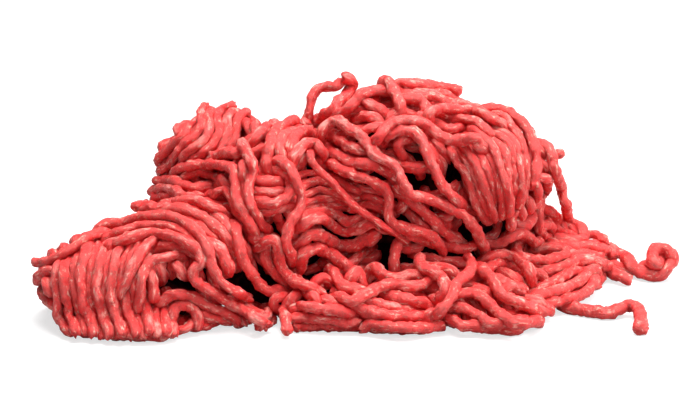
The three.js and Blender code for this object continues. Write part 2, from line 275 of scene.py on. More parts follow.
STRAND = 4.2  # a strand's diameter, a hole of the mincer's plate
STRETCHED = 0.88  # of that width where a skein has been drawn out
DRAWN_THIN = 0.8  # of it in the round bundle
THIN = 0.72  # of it in the small ribs and in the thinnest strand
STOUT = 1.2  # of it where a loose strand has swollen a little
REST_HEIGHT = 1.75  # of a strand's centre above the surface it lies flat on
TUCKED_LIFT = 2.4  # of a strand's ends above the lumps, where they go in under their neighbours
TUCK_ALONG, TUCK_DOWN = 5.0, 4.5  # how far a hidden end goes on, and how deep
OWN_WIDTH = (0.92, 1.08)  # least and most that a strand has of its sheaf's width
UNEVEN = 0.32  # share of the space between two strands of a sheaf by which each is out of place
PASSING_GAP = 7.0  # a strand further than this from the lumps lies on the floor
FAR_EDGE = 75.0  # Y of the heap's far edge
LOOK_BEFORE = 112.5  # short of the picture's distance, where a line of sight is first followed
LOOK_PAST = 225.0  # on from where a line starts, at which it is given up
LOOK_NEAR, LOOK_SHARE, LOOK_LEAST, LOOK_MOST = 0.05, 0.7, 0.3, 8.0  # steps along a line of sight

# How the picture sees the heap, in its own pixels
PICTURE_CENTRE = np.array([350, 209])
PIXEL = 0.38  # at the picture's distance
PICTURE_DISTANCE = 620.0
PICTURE_ELEVATION = np.radians(16)
PICTURE_AIM = np.array([-2.0, 0.0, 31.0])
BACK = np.array([0, -np.cos(PICTURE_ELEVATION), np.sin(PICTURE_ELEVATION)])
UP = np.array([0, np.sin(PICTURE_ELEVATION), np.cos(PICTURE_ELEVATION)])
RIGHT = np.array([1.0, 0.0, 0.0])
EYE = PICTURE_AIM + PICTURE_DISTANCE * BACK


def landing(starts, directions, lifts):
    """Follows each line until it is its lift above the lumps, or to where it passes nearest to
    them. A line that passes by goes on to the floor, if that is nearer than the far edge. Each
    step is a share of the distance that is left."""
    down = -directions[:, 2]
    depth = starts[:, 2] - np.maximum(lifts, REST_HEIGHT)
    floor = np.where(down > TINY, depth / np.maximum(down, TINY), np.inf)
    reach = np.minimum(floor, LOOK_PAST)
    distance = np.zeros(len(starts))
    nearest_gap = np.full(len(starts), np.inf)
    nearest = np.zeros(len(starts))
    going = np.ones(len(starts), bool)
    while going.any():
        gap = heap_gap(starts[going] + distance[going, None] * directions[going]) - lifts[going]
        better = gap < nearest_gap[going]
        which = np.flatnonzero(going)[better]
        nearest_gap[which] = gap[better]
        nearest[which] = distance[which]
        distance[going] += np.clip(gap * LOOK_SHARE, LOOK_LEAST, LOOK_MOST)
        going &= (distance < reach) & (nearest_gap > LOOK_NEAR)
    on_floor = starts + np.where(np.isfinite(floor), floor, 0)[:, None] * directions
    passes_by = (nearest_gap > PASSING_GAP) & np.isfinite(floor) & (on_floor[:, 1] < FAR_EDGE)
    points = np.where(passes_by[:, None], on_floor, starts + nearest[:, None] * directions)
    points[:, 2] = np.maximum(points[:, 2], REST_HEIGHT)
    return points


def sight_lines(pixels):
    """The directions from the eye through pixels of the picture."""
    across, along = ((pixels - PICTURE_CENTRE) * PIXEL).T
    directions = PICTURE_AIM + across[:, None] * RIGHT - along[:, None] * UP - EYE
    return directions / np.linalg.norm(directions, axis=1, keepdims=True)


def seen_at(pixels, lifts):
    """The points of the heap that pixels of the picture show, at lifts above the lumps."""
    directions = sight_lines(pixels)
    starts = EYE + (PICTURE_DISTANCE - LOOK_BEFORE) * directions
    return landing(starts, directions, lifts)


def seen_beyond(pixels, heights):
    """The points that pixels show of strands beside the heap, at heights above the floor."""
    directions = sight_lines(pixels)
    return EYE + ((heights - EYE[2]) / directions[:, 2])[:, None] * directions


def tucked_in(route, which):
    """A route with one more point beyond its first or last one: on along the route, and down
    into the lumps."""
    tip, before = (route[0], route[1]) if which == 0 else (route[-1], route[-2])
    along = (tip - before) / np.linalg.norm(tip - before)
    end = tip + TUCK_ALONG * along - TUCK_DOWN * outward(tip[None])[0]
    end[2] = max(end[2], REST_HEIGHT)
    return np.vstack([end, route]) if which == 0 else np.vstack([route, end])


rng = np.random.default_rng(5)
strands = []  # each a piece's name, the points of the strand's route, its lift and its width


def lay(piece, width, sheaves, seen_by=seen_at):
    """Strands from one edge route of a sheaf to the other, nearly evenly spaced. A sheaf is its
    count of strands, its lift above the lumps and its edges. A route's points are pixels of the
    picture, with a lift of their own third where it isn't the sheaf's. Beyond the heap lifts are
    heights above the floor, and behind it a route's points are an X and a height."""
    for count, lift, *edges in sheaves:
        first, last = edges[0], edges[-1]
        at_end = [k in (0, len(first) - 1) for k in range(len(first))]
        usual = np.where(at_end, min(lift, TUCKED_LIFT), lift)
        lifts = np.array([p[2] if len(p) > 2 else usual[k] for k, p in enumerate(first)], float)
        edge_pixels = [np.array([p[:2] for p in edge], float) for edge in (first, last)]
        for share in np.linspace(0, 1, count) if count > 1 else [0.0]:
            shares = share + (rng.uniform(-UNEVEN, UNEVEN, len(first)) / count if count > 1 else 0)
            shares = np.broadcast_to(shares, len(first))[:, None]
            route = seen_by(edge_pixels[0] * (1 - shares) + edge_pixels[1] * shares, lifts)
            for which in (0, -1):
                if len(first[which]) == 2 and route[which, 2] > STRAND:
                    route = tucked_in(route, which)
            strands.append((piece, route, lift, width * rng.uniform(*OWN_WIDTH)))


lay("left_fold", STRETCHED * STRAND, [
    (
        5, 5.4,
        [(66, 262), (58, 271), (56, 284), (60, 299), (65, 316), (76, 333)],
        [(99, 243), (93, 257), (90, 273), (91, 292), (96, 314), (105, 336)],
    ),
    (
        6, 5.4,
        [(109, 240), (102, 256), (99, 273), (99, 292), (104, 314), (114, 337)],
        [(152, 247), (142, 259), (135, 273), (131, 292), (134, 313), (145, 337)],
    ),
    (1, 6.2, [(34, 262, 4), (48, 261), (60, 256), (72, 250), (84, 242), (96, 234), (108, 230)]),
    (
        1, 7.4,
        [
            (109, 228), (121, 222), (138, 217), (158, 215), (176, 218), (190, 227), (202, 240),
            (208, 254), (213, 268), (223, 282), (236, 291), (247, 300, 6),
        ],
    ),
    (1, 6.4, [(112, 241), (125, 230), (141, 225), (160, 225), (180, 230), (195, 241), (205, 257)]),
    (
        1, 6.8,
        [
            (117, 249), (129, 239), (146, 233), (165, 234), (184, 239), (198, 250), (203, 261),
            (196, 267), (194, 277), (203, 286), (214, 292), (229, 303), (244, 311), (257, 319),
            (268, 325),
        ],
    ),
    (1, 4.6, [(130, 250), (150, 243), (172, 245), (192, 251), (203, 258)]),
    (1, 7.4, [(181, 255), (166, 256), (152, 261), (144, 270), (141, 285), (138, 302)]),
    (1, 6.6, [(149, 249), (139, 257), (131, 271), (125, 290)]),
    (1, 5.4, [(37, 283, 4), (42, 273), (53, 269), (62, 274), (67, 288)]),
    (1, 5.0, [(43, 290), (53, 303), (69, 317), (94, 331)]),
    (1, 5.2, [(162, 300), (172, 294), (187, 294), (200, 301), (214, 307), (229, 308), (244, 312)]),
    (1, 5.6, [(168, 334), (168, 316), (175, 305), (187, 304), (193, 313), (192, 324)]),
    (3, 4.6, [(147, 300), (150, 338)], [(163, 306), (165, 337)]),
    (1, 4.4, [(196, 312), (214, 317), (238, 321)]),
    (1, 3.6, [(176, 321), (196, 322), (214, 318), (230, 314)]),
    (1, 3.2, [(176, 331), (192, 330), (206, 326), (215, 319)]),
    (1, 5.0, [(222, 300), (240, 309), (256, 313), (276, 316)]),
    (1, 2.4, [(106, 339, 2), (130, 340, 2), (168, 340, 2)]),
])
lay("left_fold", STRAND, [
    (1, 2.0, [(60, 333, 2.2), (70, 333, 2.2), (84, 331, 3), (98, 334, 2.2)]),
    (1, 2.0, [(228, 310, 7), (241, 318, 4), (254, 325, 2.4), (268, 329, 2.2)]),
    (1, 2.0, [(226, 315, 4), (239, 322, 2.4), (253, 326, 2.2)]),
    (1, 2.0, [(236, 309, 6), (250, 315, 4), (262, 319, 2.6), (276, 319, 2.2)]),
], seen_beyond)


# The bundle behind the fold
# A short skein stands up behind the fold with its strands arched to the right, and more strands
# lie between the two, where the heap's left side falls towards the fold.

lay("rear_bundle", STRETCHED * STRAND, [
    (
        6, 3.0,
        [(166, 178), (162, 162), (171, 150), (190, 136), (204, 114)],
        [(204, 158), (222, 145), (236, 130), (241, 120), (254, 126)],
    ),
    (1, 5.4, [(163, 182), (159, 165), (160, 151), (172, 142)]),
    (1, 5.2, [(168, 178), (167, 161), (173, 148), (184, 138), (193, 130)]),
    (1, 5.8, [(176, 171), (175, 157), (183, 146), (194, 137), (201, 126), (203, 115), (207, 105, 5)]),
    (1, 5.2, [(184, 166), (189, 153), (201, 146), (209, 136), (211, 125), (207, 116), (213, 110, 5)]),
    (1, 5.8, [(193, 160), (205, 153), (214, 144), (218, 133), (215, 122), (220, 111), (236, 106, 5)]),
    (1, 5.2, [(205, 159), (217, 150), (227, 141), (229, 131), (226, 122), (233, 115), (240, 113)]),
    (1, 5.8, [(224, 150), (234, 140), (238, 130), (237, 123), (243, 119), (251, 123), (256, 130)]),
    (1, 4.8, [(240, 142), (247, 131), (247, 123), (256, 130), (262, 136)]),
    (
        5, 4.4,
        [(160, 186), (176, 184), (198, 186), (226, 184)],
        [(146, 207), (170, 208), (196, 214), (228, 230)],
    ),
    (1, 6.0, [(161, 183, 4), (172, 182), (186, 188), (202, 189), (218, 192)]),
    (1, 5.6, [(153, 197, 4), (161, 191), (174, 191), (190, 199), (204, 202)]),
    (1, 5.4, [(135, 205, 4), (150, 205), (168, 208)]),
    (1, 6.2, [(168, 207), (181, 200), (196, 201), (209, 209), (222, 220)]),
    (1, 5.8, [(184, 187), (186, 176), (198, 171), (214, 176), (227, 184)]),
    (1, 5.2, [(172, 178), (184, 172), (198, 181)]),
    (1, 6.4, [(213, 207), (217, 194), (225, 190), (233, 200), (241, 215), (251, 231)]),
    (1, 5.6, [(162, 216), (178, 209), (192, 213), (208, 221), (222, 232), (231, 247)]),
    (1, 4.4, [(182, 219), (196, 223), (206, 230), (213, 238)]),
    (1, 4.8, [(204, 214), (220, 220), (234, 233), (244, 250)]),
])


# The slope
# Strands that hang down from the top between the left side and the middle, and turn to the
# right at their feet, round a small skein that lies across them.

lay("slope", STRAND, [
    (
        1, 7.2,
        [
            (184, 173), (192, 165), (206, 164), (222, 165), (234, 170), (237, 184),
            (240, 203), (249, 221), (257, 236),
        ],
    ),
    (1, 6.8, [(240, 152), (243, 166), (242, 184), (245, 202), (254, 218)]),
    (1, 7.8, [(245, 146), (251, 158), (252, 172), (248, 190), (251, 206), (261, 223)]),
    (1, 7.6, [(213, 158, 6), (222, 153), (235, 151), (243, 143), (257, 134), (274, 127)]),
    (1, 1.0, [(228, 298), (243, 304), (258, 308), (274, 309)]),
    (1, 5.6, [(228, 226), (237, 244), (246, 264), (257, 281), (270, 291), (285, 291)]),
    (1, 5.2, [(247, 222), (257, 238), (263, 254), (270, 268), (280, 279), (292, 287)]),
    (
        1, 6.2,
        [(258, 244), (266, 239), (274, 240), (278, 252), (282, 266), (290, 277), (300, 286), (316, 295)],
    ),
    (
        3, 4.6,
        [(254, 180), (268, 179), (282, 182)],
        [(256, 207), (272, 208), (290, 204)],
    ),
    (1, 6.2, [(255, 199), (270, 203), (285, 198), (292, 185), (288, 172), (272, 163)]),
    (1, 5.4, [(254, 156), (263, 147), (270, 151), (277, 162)]),
    (1, 6.6, [(270, 166), (270, 150), (273, 135), (283, 127), (294, 126)]),
    (1, 6.0, [(282, 163), (279, 149), (283, 136), (296, 129)]),
    (1, 6.8, [(290, 164), (292, 148), (295, 136), (306, 130), (320, 134)]),
    (1, 6.0, [(294, 114, 6), (299, 124), (306, 136)]),
    (
        1, 7.8,
        [
            (276, 165), (288, 168), (295, 182), (301, 196), (299, 209), (290, 221),
            (287, 234), (288, 247), (294, 260),
        ],
    ),
    (1, 8.0, [(290, 168), (294, 156), (303, 147), (313, 144), (322, 151), (325, 165)]),
    (1, 6.0, [(298, 164), (303, 154), (312, 152), (317, 162)]),
])


# The wall in the middle
# The side of a skein shows as short ribs across the middle of the heap, and long strands slant
# down over them from the crown to the right.

lay("middle_wall", THIN * STRAND, [
    (
        5, 3.6,
        [(300, 176), (316, 171), (334, 177), (352, 186)],
        [(306, 213), (322, 208), (338, 206), (354, 209)],
    ),
    (
        3, 3.4,
        [(346, 186), (362, 187), (384, 193)],
        [(358, 208), (370, 205), (384, 210)],
    ),
    (
        1, 8.4,
        [
            (307, 152, 8), (314, 163), (323, 172), (335, 184), (344, 194), (353, 204),
            (364, 213), (376, 221), (390, 229), (406, 237),
        ],
    ),
])
lay("middle_wall", STRAND, [
    (1, 4.4, [(303, 217), (318, 211), (334, 214), (350, 220), (366, 217)]),
    (
        1, 5.6,
        [(297, 228), (307, 221), (318, 217), (330, 223), (344, 230), (358, 228), (372, 223), (388, 229)],
    ),
    (1, 5.8, [(299, 242), (311, 234), (323, 236), (337, 243), (352, 245), (366, 240), (379, 233, 5)]),
    (1, 6.0, [(296, 270), (303, 255), (314, 248), (326, 251), (338, 259), (347, 270)]),
    (1, 3.6, [(326, 262), (338, 268), (352, 262), (364, 252)]),
    (
        1, 8.6,
        [
            (322, 150), (322, 133), (330, 123), (340, 121), (350, 129), (362, 135), (371, 143),
            (375, 156), (388, 161), (398, 170), (403, 184), (412, 195), (430, 199), (448, 205),
            (462, 214), (472, 224), (479, 237), (483, 249),
        ],
    ),
    (
        1, 7.0,
        [
            (325, 158), (336, 167), (352, 174), (370, 180), (385, 188), (389, 200), (388, 214),
            (392, 223), (406, 228), (424, 232), (440, 243),
        ],
    ),
    (1, 6.2, [(326, 147), (338, 156), (354, 163), (372, 164), (386, 170)]),
    (1, 5.6, [(332, 134), (345, 144), (360, 151), (374, 152)]),
    (1, 4.6, [(346, 152), (364, 156), (382, 166), (396, 180)]),
    (
        1, 8.8,
        [
            (374, 148), (378, 137), (390, 126), (406, 120), (422, 122), (434, 131), (447, 139),
            (460, 140), (474, 138), (484, 147),
        ],
    ),
    (
        1, 8.2,
        [
            (381, 143), (390, 133), (404, 129), (416, 133), (424, 144), (429, 158), (436, 173),
            (444, 187), (456, 198), (470, 208),
        ],
    ),
    (1, 5.6, [(401, 156), (399, 146), (403, 139), (413, 138)]),
    (1, 5.0, [(396, 160), (412, 166), (428, 166)]),
    (1, 6.0, [(423, 141), (433, 154), (438, 168)]),
    (1, 5.6, [(402, 194), (418, 206), (432, 219), (446, 232), (457, 242)]),
    (1, 4.6, [(414, 218), (428, 229), (438, 243)]),
    (1, 4.6, [(446, 221), (449, 233), (457, 243)]),
])


# The crown
# Long strands run along the top of the heap with the ends of others hooked under them, and one
# strand stands up in a loop at its left.

lay("crown", STRAND, [
    (
        1, 7.0,
        [
            (462, 89, 7.5), (446, 88), (429, 87), (412, 86), (397, 85), (384, 88), (372, 94),
            (360, 101), (348, 110), (337, 121),
        ],
    ),
    (1, 6.2, [(454, 97), (437, 92), (420, 90), (404, 87), (388, 87), (374, 93), (362, 102)]),
    (1, 6.2, [(474, 109), (456, 104), (438, 99), (420, 95), (404, 93), (388, 93)]),
    (1, 5.4, [(384, 92), (371, 98), (360, 107), (348, 118)]),
    (1, 6.6, [(385, 90), (396, 98), (399, 109), (392, 120)]),
    (1, 6.2, [(402, 101), (413, 98), (422, 103), (425, 112), (420, 122)]),
    (1, 4.8, [(354, 105), (368, 106), (382, 111), (392, 120)]),
    (1, 4.6, [(352, 117), (368, 116), (382, 120), (390, 130)]),
    (1, 4.4, [(402, 112), (416, 115), (430, 126)]),
    (1, 8.0, [(305, 132), (308, 117), (311, 102), (315, 92), (324, 88, 7), (336, 87, 7), (348, 86, 6)]),
    (1, 6.0, [(341, 74, 6), (350, 80, 6), (348, 91), (342, 101), (334, 111), (322, 121)]),
    (1, 5.0, [(319, 119), (326, 114), (336, 111), (346, 104)]),
])


# The round bundle at the right
# A skein doubled over into a ball hangs out over the apron, with its strands upright side by
# side, and loose ones hang past it to the apron.

lay("round_bundle", DRAWN_THIN * STRAND, [
    (
        10, 5.2,
        [(452, 152), (460, 162), (467, 174), (472, 189), (477, 203), (486, 218)],
        [(488, 113), (502, 118), (515, 131), (523, 149), (525, 172), (522, 196)],
    ),
])
lay("round_bundle", STRETCHED * STRAND, [
    (1, 7.4, [(425, 122), (430, 112), (442, 108), (458, 110), (474, 110), (488, 116), (498, 130)]),
    (1, 5.0, [(436, 127), (452, 129), (466, 122), (476, 114)]),
    (1, 5.4, [(438, 115), (456, 118), (472, 123), (485, 134)]),
    (1, 6.2, [(496, 111), (514, 117), (527, 129), (534, 146), (536, 167), (535, 187, 6)]),
    (1, 4.6, [(541, 158), (546, 170), (545, 184)]),
    (1, 5.6, [(548, 178), (546, 189), (541, 202), (539, 217), (541, 231), (548, 244)]),
    (1, 4.4, [(538, 205), (548, 210), (560, 220)]),
    (1, 6.0, [(567, 151, 6), (553, 153, 6), (542, 149), (530, 139)]),
])
lay("round_bundle", STRAND, [
    (
        1, 6.4,
        [(540, 148), (549, 159), (556, 172), (561, 187), (565, 204), (568, 219), (579, 232)],
    ),
])


# The apron in front
# Loose strands have slid down in front and lie across each other, thin over the surface, and a
# few long ones loop over them.

lay("front_apron", STRAND, [
    (
        1, 6.8,
        [
            (394, 273), (394, 258), (399, 244), (410, 236), (424, 239), (440, 246), (458, 249),
            (478, 246), (496, 246), (507, 238), (519, 233), (530, 238), (537, 249),
        ],
    ),
    (
        1, 6.4,
        [(513, 243), (520, 256), (541, 259), (561, 258), (564, 251), (550, 247), (534, 249)],
    ),
    (1, 8.4, [(420, 254, 8), (420, 264), (430, 273), (442, 278), (444, 291), (435, 304)]),
    (
        1, 8.8,
        [(466, 254, 8), (473, 263), (468, 274), (456, 284), (449, 297), (440, 309), (427, 317)],
    ),
    (1, 7.6, [(479, 266), (492, 258), (509, 255), (522, 262), (530, 273), (531, 288)]),
    (1, 5.4, [(486, 268), (500, 269), (513, 277), (523, 288)]),
    (1, 5.6, [(470, 282), (484, 270), (500, 262), (514, 268)]),
    (1, 7.2, [(474, 273), (488, 278), (497, 289), (505, 299), (522, 305), (541, 313, 4)]),
    (1, 7.0, [(498, 300), (503, 290), (513, 288), (524, 292, 6)]),
    (1, 6.2, [(518, 297), (535, 302), (550, 310, 3)]),
    (
        1, 6.6,
        [(451, 302), (460, 293), (474, 292), (487, 300), (497, 311), (508, 320), (524, 322), (540, 318)],
    ),
    (1, 5.2, [(450, 309), (466, 307), (477, 314), (488, 321), (506, 323), (533, 321, 2)]),
    (1, 3.8, [(446, 318), (462, 324), (482, 326), (510, 326), (532, 324)]),
    (1, 5.0, [(332, 272), (340, 282), (352, 291), (368, 294)]),
    (1, 7.2, [(334, 298), (350, 300), (364, 295), (378, 287), (394, 284), (412, 286), (433, 286)]),
    (1, 6.6, [(349, 290), (353, 275), (359, 273), (365, 289)]),
    (1, 6.4, [(367, 276), (374, 267), (384, 276), (400, 277), (420, 274), (436, 281), (441, 294)]),
    (1, 5.6, [(376, 291), (392, 296), (408, 302), (430, 305)]),
    (1, 5.2, [(356, 300), (376, 303), (398, 308), (424, 311)]),
    (1, 4.8, [(316, 294), (330, 300), (345, 304), (362, 305)]),
    (1, 6.2, [(298, 309), (318, 308), (338, 310), (357, 313)]),
    (1, 6.4, [(356, 311), (378, 314), (400, 316), (420, 317), (438, 314)]),
    (1, 4.2, [(294, 319), (316, 319), (338, 320), (360, 322)]),
    (1, 4.2, [(358, 322), (384, 326), (410, 328), (440, 324)]),
    (1, 2.6, [(360, 326), (386, 327), (412, 328), (436, 326)]),
    (1, 2.4, [(292, 326), (316, 325), (340, 325), (364, 325)]),
    (1, 5.0, [(287, 333, 2.2), (286, 321), (284, 309), (292, 299), (301, 288)]),
    (1, 5.8, [(297, 283), (308, 289), (316, 299), (311, 311)]),
])


# The apron at the right
# The heap thins out to single strands: one curls up at its far end, and a stray one lies in
# front with its left end under the edge.

lay("right_apron", STRAND, [
    (1, 5.0, [(534, 290), (552, 281), (568, 272), (590, 267)]),
    (1, 5.2, [(541, 297), (560, 290), (578, 281), (592, 273)]),
    (1, 4.6, [(548, 304), (567, 298), (583, 293), (591, 285), (591, 276)]),
    (1, 5.2, [(538, 276), (556, 267), (575, 263), (596, 263), (606, 270)]),
    (1, 4.8, [(541, 232), (562, 231), (584, 232), (598, 236)]),
    (1, 4.0, [(546, 224), (562, 221), (580, 228)]),
    (1, 4.4, [(564, 250), (582, 246), (598, 250), (606, 256, 3)]),
    (1, 4.0, [(566, 259), (586, 255), (602, 259)]),
    (1, 4.6, [(552, 240), (572, 239), (590, 242), (606, 250)]),
    (1, 3.0, [(596, 264), (608, 268), (621, 276, 2.4), (632, 281, 2.2)]),
])
lay("right_apron", STOUT * STRAND, [
    (
        1, 2.0,
        [
            (590, 241, 8), (605, 245, 7), (620, 254, 6), (632, 263, 4.5), (645, 274, 2.4),
            (658, 275, 2.6), (668, 268, 5), (672, 258, 8.5), (666, 250, 11.5), (656, 249, 12),
            (653, 257, 9.5), (659, 264, 7), (665, 257, 7),
        ],
    ),
    (
        1, 2.0,
        [(612, 264, 2.4), (624, 269, 2.4), (636, 267, 4), (648, 262, 6), (657, 259, 7), (662, 265, 6)],
    ),
    (
        1, 2.0,
        [
            (570, 298, 4.5), (565, 304, 2.6), (574, 308, 2.4), (590, 311, 2.2), (606, 312, 2.4),
            (617, 310, 2.8), (628, 306, 3.6), (638, 308, 4), (641, 319, 2.6), (640, 330, 2.2),
        ],
    ),
], seen_beyond)


# The far side
# Strands slide down from the crown to the foot between the bundles, over others that lie
# across, as they do in front.

BEHIND = 120.0  # Y from which the far side is looked at


def met_behind(places, lifts):
    """The points met from behind at an X and a height, at lifts above the lumps."""
    starts = np.column_stack([places[:, 0], np.full(len(places), BEHIND), places[:, 1]])
    return landing(starts, np.tile([0.0, -1.0, 0.0], (len(places), 1)), lifts)


lay("outer", STRAND, [
    (
        13, 5.0,
        [(-32, 50), (-30, 36), (-32, 22), (-40, 10), (-44, 4)],
        [(24, 52), (20, 36), (12, 22), (10, 10), (14, 4)],
    ),
], met_behind)
lay("under", STRAND, [
    (
        9, 1.6,
        [(-36, 6), (-20, 8), (-4, 8), (12, 6), (26, 6)],
        [(-36, 42), (-20, 46), (-4, 48), (12, 48), (26, 46)],
    ),
], met_behind)


# The deep gaps
# Where skeins lean against each other they leave gaps that reach far in and are nearly black.
# Neither the core nor the strands under and behind come into them.

# The middle of each gap in the picture, then half its width and half its height
GAPS = [
    (250, 292, 30, 18), (232, 272, 12, 12), (268, 277, 10, 8), (268, 224, 15, 13), (190, 281, 14, 8),
    (416, 180, 12, 12), (451, 177, 9, 18), (405, 213, 12, 9), (466, 230, 9, 13),
    (381, 254, 13, 15), (315, 263, 7, 7), (320, 284, 13, 8), (410, 258, 9, 12),
    (506, 219, 12, 6), (376, 210, 7, 5), (452, 258, 14, 6), (208, 157, 10, 5), (45, 322, 13, 15),
    (178, 277, 13, 9),
]
GAP_DEPTH = 15.0  # half of how far a gap reaches along the line of sight
GAP_INSIDE = 5.0  # of a gap's middle behind the lumps' surface
GAP_CLEAR = 1.5  # from a gap to the strands under and behind

gap_pixels = np.array(GAPS, float)
gap_middles = seen_at(gap_pixels[:, :2], np.zeros(len(GAPS))) - GAP_INSIDE * BACK
gap_depths = np.full(len(GAPS), GAP_DEPTH)
GAP_TABLE = np.column_stack([
    gap_middles, gap_pixels[:, 2] * PIXEL, gap_depths, gap_pixels[:, 3] * PIXEL
])


def hollowed(points):
    """Points moved along the line of sight until no gap holds them. With q the point measured in a
    gap's half-lengths and e the direction likewise, |q + t e| is one at the gap's far side."""
    for middle, radii in zip(GAP_TABLE[:, :3], GAP_TABLE[:, 3:]):
        q = (points - middle) / radii
        e = -BACK / radii
        along_sight = q @ e
        room = along_sight**2 - (e @ e) * ((q**2).sum(axis=1) - 1)
        t = (np.sqrt(np.maximum(room, 0)) - along_sight) / (e @ e)
        points = points - np.where((q**2).sum(axis=1) < 1, t, 0)[:, None] * BACK
    return points


skin = hollowed(skin)
skin[:, 2] = np.maximum(skin[:, 2], 0)
core.data.vertices.foreach_set("co", ((skin - HEAP_MIDDLE) * MM).astype(np.float32).ravel())
core.data.update()


# The strands under and behind
# Each lump is a skein of its own, wound of strands that lie side by side. They fill the gaps
# between the strands in front, and cover the top, the ends and the far side.

PITCH = 4.3  # between strands that lie side by side
HOOP_STEPS = 72  # round a skein
HOOP_REACH = 110.0  # from which each hoop is followed inwards
UNDER_LIFT, OUTER_LIFT = 1.2, 5.0  # of the strands beneath and of the outer ones
WOBBLE, WOBBLE_LENGTH = 2.4, 26.0  # of a strand to each side, and over what length
WOBBLE_ACROSS = 78.0  # the same from hoop to hoop: neighbours wobble nearly alike
TIP_POINTS = 2  # by which a strand runs on under its neighbour
TIP_DROP = 2.2  # that each of them goes deeper
TIP_REACH = 8.0  # between two of them: if it is more, the strand ends before the gap
CLEAR = 3.6  # of an outer strand from those already laid
SHORTEST = 3  # points of a hoop that make a strand
HOOP_WIDTH = (0.88, 1.04)  # least and most that such a strand has of a full one's width
LIFT_SLACK = 1.0  # by which a point of a hoop may miss its lift
OFF_FLOOR = 0.01  # above a strand's rest height, from which it counts as off the floor
STEEP = 0.9  # a winding axis that rises more than this takes its first side from X
CURVE_STEPS = 12  # from one point of a route to the next, before the curve is cut evenly
BLOCK = 200  # points that are compared with the others at a time

# The way each skein is wound: the axis that its strands go round
WINDING = {
    "fold": (1, 0.1, 0),
    "fold end": (1, 0.3, 0.1),
    "fold root": (0.5, 0.8, 0.2),
    "rear bundle": (0.7, -0.3, 0.6),
    "rear foot": (0.35, 0.5, 0.7),
    "slope": (0.9, 0.3, 0.25),
    "crown": (-0.25, 0.8, 0.5),
    "foot": (0.2, 0.25, 0.9),
    "round bundle": (0.95, 0.2, 0.2),
    "round foot": (0.3, -0.5, 0.8),
    "front apron": (-0.2, 0.95, 0.2),
    "front apron right": (0.3, 0.9, 0.2),
    "front apron left": (-0.4, 0.9, 0.1),
    "right apron": (-0.25, 0.9, 0.1),
}
UNDER_TURN = 0.7  # radians by which the strands beneath are wound across the outer ones
ASKEW = [0.3, 0.5, 0.8]  # a direction that no winding axis has


def evenly(route, spacing):
    """A Catmull-Rom curve through a route's points, cut into equal steps. Between two points it
    is the cubic whose slope at each is half the way from the point before to the point after."""
    padded = np.vstack([2 * route[0] - route[1], route, 2 * route[-1] - route[-2]])
    t = np.linspace(0, 1, CURVE_STEPS, endpoint=False)[:, None]
    a, b, c, d = (padded[k : len(route) - 1 + k, None] for k in range(4))
    cubic = 2 * b + (c - a) * t + (2 * a - 5 * b + 4 * c - d) * t**2 + (3 * b - a - 3 * c + d) * t**3
    curve = np.vstack([cubic.reshape(-1, 3) / 2, route[-1]])
    length = np.r_[0, np.cumsum(np.linalg.norm(np.diff(curve, axis=0), axis=1))]
    at = np.linspace(0, length[-1], max(3, round(length[-1] / spacing)) + 1)
    return np.stack([np.interp(at, length, curve[:, k]) for k in range(3)], axis=1)


def wound(name, axis, lift):
    """Hoops round a lump, in planes square to the winding axis, and which of their points count.
    Each is followed round the axis by lines that come in from outside and stop at the lift, and
    its points count where the lump that they meet is its own and they don't lie on the floor."""
    centre, radii = (np.array(v, float) for v in LUMPS[name])
    index = list(LUMPS).index(name)
    axis = np.array(axis, float) / np.linalg.norm(axis)
    side = np.cross(axis, [0, 0, 1] if abs(axis[2]) < STEEP else [1, 0, 0])
    side /= np.linalg.norm(side)
    other = np.cross(axis, side)
    half = np.linalg.norm(radii * axis) + lift
    offsets = np.arange(-half, half, PITCH) + rng.uniform(0, PITCH)
    angles = 2 * np.pi * np.arange(HOOP_STEPS) / HOOP_STEPS
    turn = rng.uniform(0, 2 * np.pi)
    size = radii.mean()
    waves = WOBBLE * noise(
        np.stack(np.broadcast_arrays(
            size * np.cos(angles) / WOBBLE_LENGTH + turn,
            size * np.sin(angles) / WOBBLE_LENGTH + index,
            offsets[:, None] / WOBBLE_ACROSS,
        ), axis=2).reshape(-1, 3)
    ).reshape(len(offsets), HOOP_STEPS)
    inward = -(np.cos(angles)[:, None] * side + np.sin(angles)[:, None] * other)
    middles = centre + (offsets[:, None] + waves)[..., None] * axis
    starts = middles - HOOP_REACH * inward
    directions = np.broadcast_to(inward, starts.shape)
    points = landing(
        starts.reshape(-1, 3), directions.reshape(-1, 3), np.full(starts[..., 0].size, lift)
    )
    own = ellipsoid_gaps(points, LUMP_TABLE).argmin(axis=1) == index
    own &= np.abs(heap_gap(points) - lift) < LIFT_SLACK
    own &= points[:, 2] > REST_HEIGHT + OFF_FLOOR
    return points.reshape(starts.shape), own.reshape(starts.shape[:2])


def runs_of(kept):
    """The stretches of a ring of flags that are set, each as the places it holds in order."""
    if kept.all():
        return [np.arange(len(kept))]
    first_gap = int(np.flatnonzero(~kept)[0])
    order = (first_gap + np.arange(len(kept))) % len(kept)
    flags = np.r_[False, kept[order], False].astype(int)
    begins, ends = np.flatnonzero(np.diff(flags) == 1), np.flatnonzero(np.diff(flags) == -1)
    return [order[a:b] for a, b in zip(begins, ends)]


